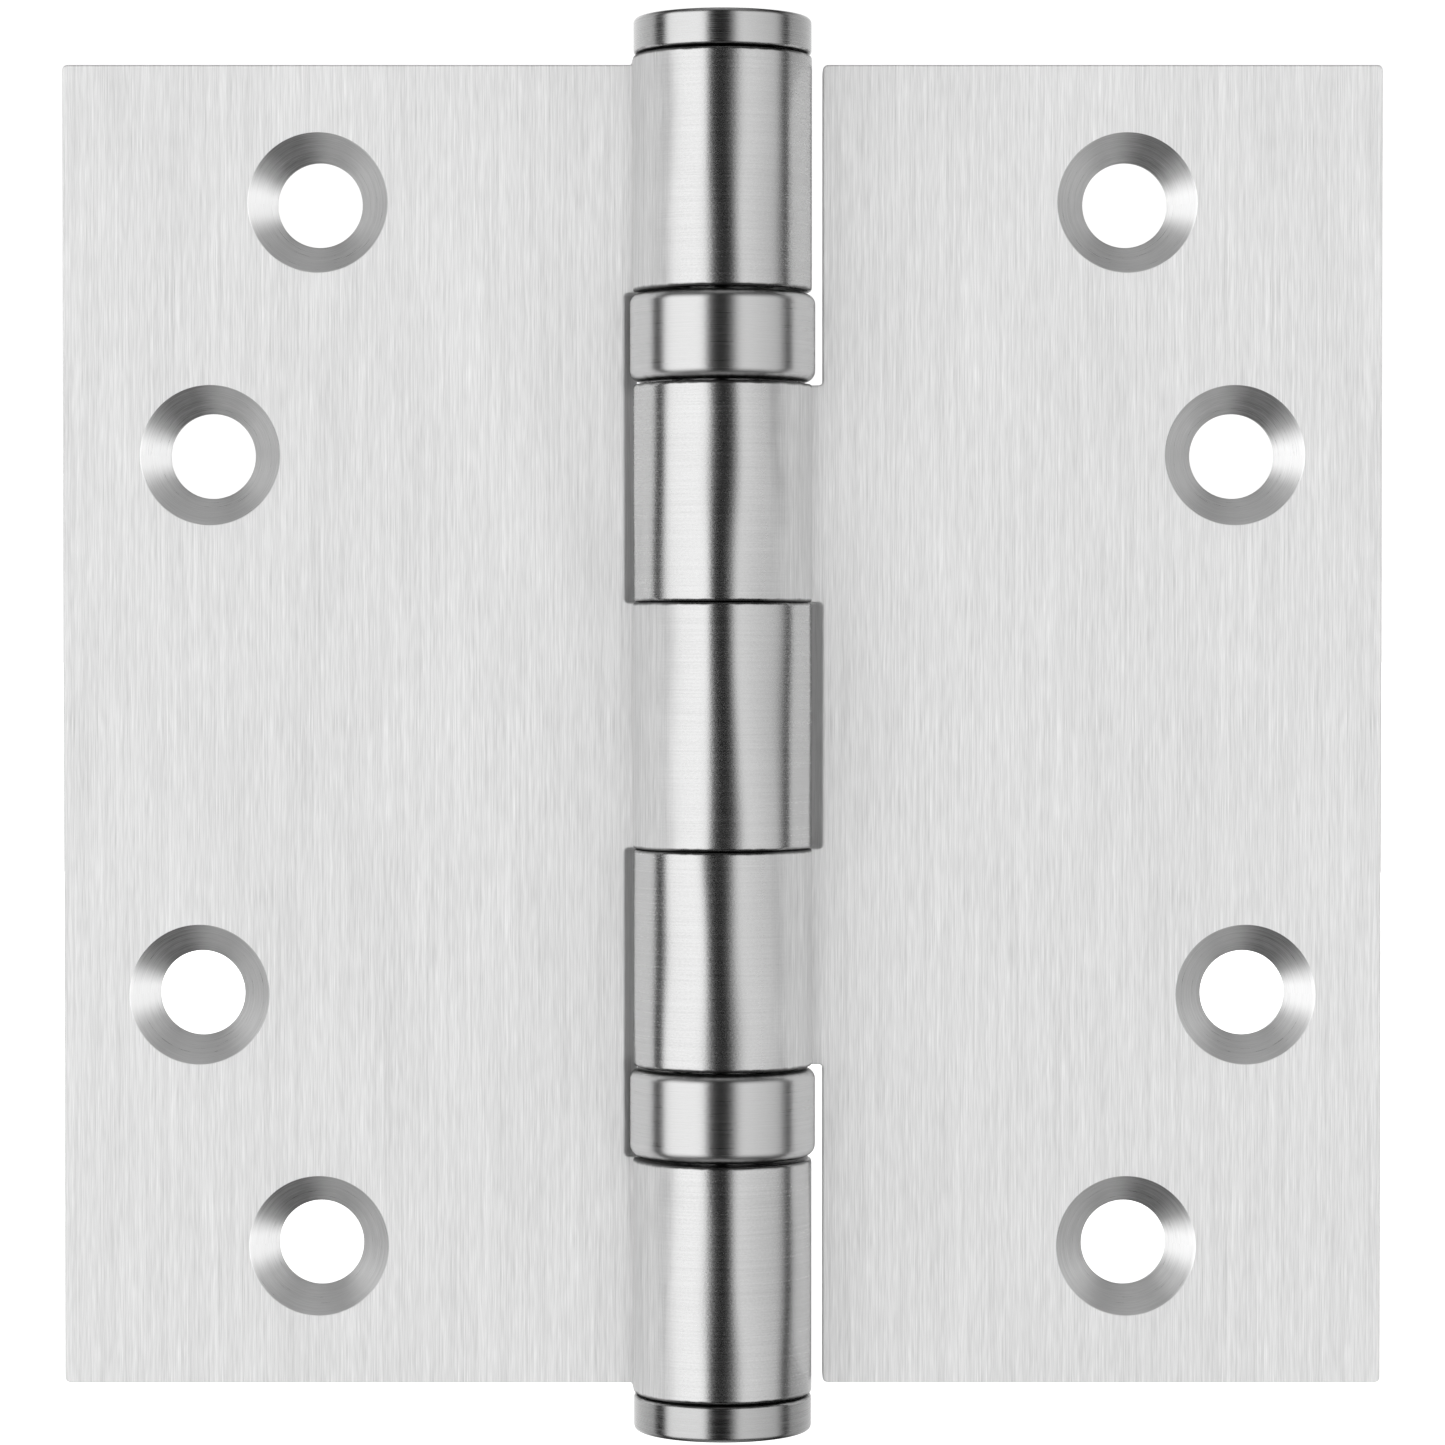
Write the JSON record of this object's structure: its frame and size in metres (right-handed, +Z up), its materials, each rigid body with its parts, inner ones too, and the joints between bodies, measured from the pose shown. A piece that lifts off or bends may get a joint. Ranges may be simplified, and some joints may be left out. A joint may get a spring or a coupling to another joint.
{
  "type": "ball bearing butt hinge",
  "caption": "Full-mortise steel door hinge, open flat: rectangular countersunk leaves, knuckled barrel with bearing rings, and a pin with flat button tips.",
  "frame": {"origin": "on the pin's axis, half way up the hinge, which is the centre of its bounding box", "axes": "+Z up along the pin towards its head; the countersunk faces of the open leaves look along -Y; the frame leaf lies towards -X and the door leaf towards +X"},
  "size_m": [0.1142, 0.016, 0.122],
  "materials": {
    "satin_stainless": "satin, brushed along the pin's axis",
    "turned_stainless": "fine turned rings",
    "bearing_shell": "fine turned lines, bright",
    "hardened_steel": "ground and hardened",
    "polished_ball": "polished",
    "nylon_cage": "moulded, matte"
  },
  "bodies": {
    "frame_side": {"frame_leaf": "satin_stainless", "bottom_plug": "turned_stainless", "upper_bearing_shell": "bearing_shell", "upper_bearing_upper_race": "hardened_steel", "lower_bearing_shell": "bearing_shell", "lower_bearing_lower_race": "hardened_steel"},
    "door_side": {"door_leaf": "satin_stainless", "upper_bearing_lower_race": "hardened_steel", "lower_bearing_upper_race": "hardened_steel"},
    "pin": {"hinge_pin": "turned_stainless"},
    "upper_balls": {"upper_bearing_cage": "nylon_cage", "upper_bearing_ball_01": "polished_ball", "upper_bearing_ball_02": "polished_ball", "upper_bearing_ball_03": "polished_ball", "upper_bearing_ball_04": "polished_ball", "upper_bearing_ball_05": "polished_ball", "upper_bearing_ball_06": "polished_ball", "upper_bearing_ball_07": "polished_ball", "upper_bearing_ball_08": "polished_ball", "upper_bearing_ball_09": "polished_ball", "upper_bearing_ball_10": "polished_ball", "upper_bearing_ball_11": "polished_ball", "upper_bearing_ball_12": "polished_ball"},
    "lower_balls": {"lower_bearing_cage": "nylon_cage", "lower_bearing_ball_01": "polished_ball", "lower_bearing_ball_02": "polished_ball", "lower_bearing_ball_03": "polished_ball", "lower_bearing_ball_04": "polished_ball", "lower_bearing_ball_05": "polished_ball", "lower_bearing_ball_06": "polished_ball", "lower_bearing_ball_07": "polished_ball", "lower_bearing_ball_08": "polished_ball", "lower_bearing_ball_09": "polished_ball", "lower_bearing_ball_10": "polished_ball", "lower_bearing_ball_11": "polished_ball", "lower_bearing_ball_12": "polished_ball"}
  },
  "joints": [
    {"name": "door_swing", "type": "hinge", "parent": "frame_side", "child": "door_side", "pos_m": [0, 0, 0], "axis": [0, 0, 1], "range_deg": [-180, 105]},
    {"name": "pin_lift", "type": "slide", "parent": "frame_side", "child": "pin", "axis": [0, 0, 1], "range_m": [0, 0.112]},
    {"name": "upper_cage_turn", "type": "hinge", "parent": "frame_side", "child": "upper_balls", "pos_m": [0, 0, 0.03345], "axis": [0, 0, 1], "range_deg": [-90, 52.5]},
    {"name": "lower_cage_turn", "type": "hinge", "parent": "frame_side", "child": "lower_balls", "pos_m": [0, 0, -0.03345], "axis": [0, 0, 1], "range_deg": [-90, 52.5]}
  ],
  "couplings": [
    {"joint": "upper_cage_turn", "follows": "door_swing", "ratio": 0.5},
    {"joint": "lower_cage_turn", "follows": "door_swing", "ratio": 0.5}
  ]
}
